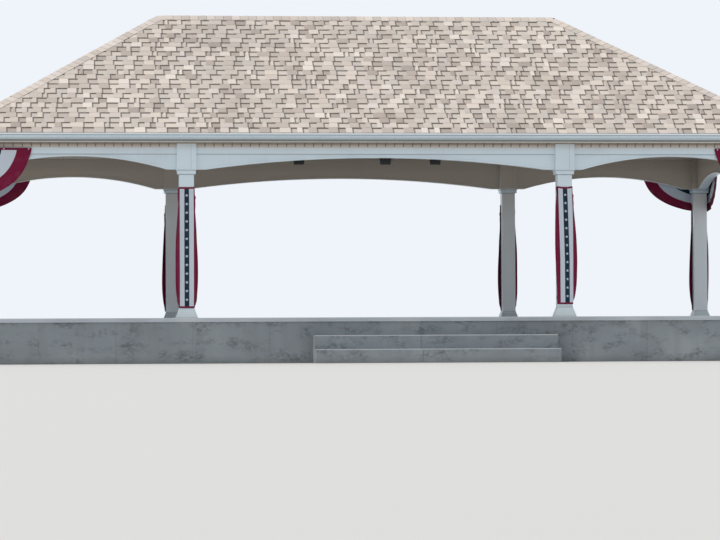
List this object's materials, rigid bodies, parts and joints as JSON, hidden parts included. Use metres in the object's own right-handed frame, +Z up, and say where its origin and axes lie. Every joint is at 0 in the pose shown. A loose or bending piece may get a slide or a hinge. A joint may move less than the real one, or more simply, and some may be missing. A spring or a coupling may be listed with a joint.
{
  "type": "bandstand",
  "caption": "Open-sided bandstand: shingled hip roof on square white columns with arched beams, on a raised concrete stage.",
  "frame": {"origin": "on the ground, under the middle of the stage, at the foot of its bearing wall", "axes": "+X along the stage to a spectator's right, +Y from the front steps to the back, +Z up"},
  "size_m": [13.874, 7.617, 5.9146],
  "materials": {
    "concrete": "broomed grey concrete",
    "pale_concrete": "trowelled pale concrete",
    "white_vinyl": "matte white wrap",
    "white_aluminium": "baked white enamel",
    "tan_soffit": "ribbed cream enamel",
    "shingle": "mineral granules, taupe grey",
    "black_enamel": "black powder coat",
    "bunting": "red, white and navy printed cotton"
  },
  "bodies": {
    "root": {"stage_slab": "pale_concrete", "front_wall": "concrete", "back_wall": "concrete", "left_wall": "concrete", "right_wall": "concrete", "middle_wall": "concrete", "lower_step": "concrete", "upper_step": "concrete", "front_left_corner_column": "white_vinyl", "front_left_column": "white_vinyl", "front_right_column": "white_vinyl", "front_right_corner_column": "white_vinyl", "back_left_corner_column": "white_vinyl", "back_left_column": "white_vinyl", "back_right_column": "white_vinyl", "back_right_corner_column": "white_vinyl", "left_side_column": "white_vinyl", "right_side_column": "white_vinyl", "column_bases": "white_vinyl", "column_trims": "white_vinyl", "column_heads": "white_vinyl", "front_beams": "white_vinyl", "back_beams": "white_vinyl", "left_beams": "white_vinyl", "right_beams": "white_vinyl", "ceiling": "white_vinyl", "front_frieze": "tan_soffit", "back_frieze": "tan_soffit", "left_frieze": "tan_soffit", "right_frieze": "tan_soffit", "front_fascia": "white_aluminium", "back_fascia": "white_aluminium", "left_fascia": "white_aluminium", "right_fascia": "white_aluminium", "front_gutter": "white_aluminium", "back_gutter": "white_aluminium", "left_gutter": "white_aluminium", "right_gutter": "white_aluminium", "front_roof": "shingle", "back_roof": "shingle", "left_roof": "shingle", "right_roof": "shingle", "ridge_cap": "shingle", "hip_caps": "shingle", "floodlights": "black_enamel", "column_banners": "bunting", "corner_fans": "bunting"}
  },
  "joints": []
}
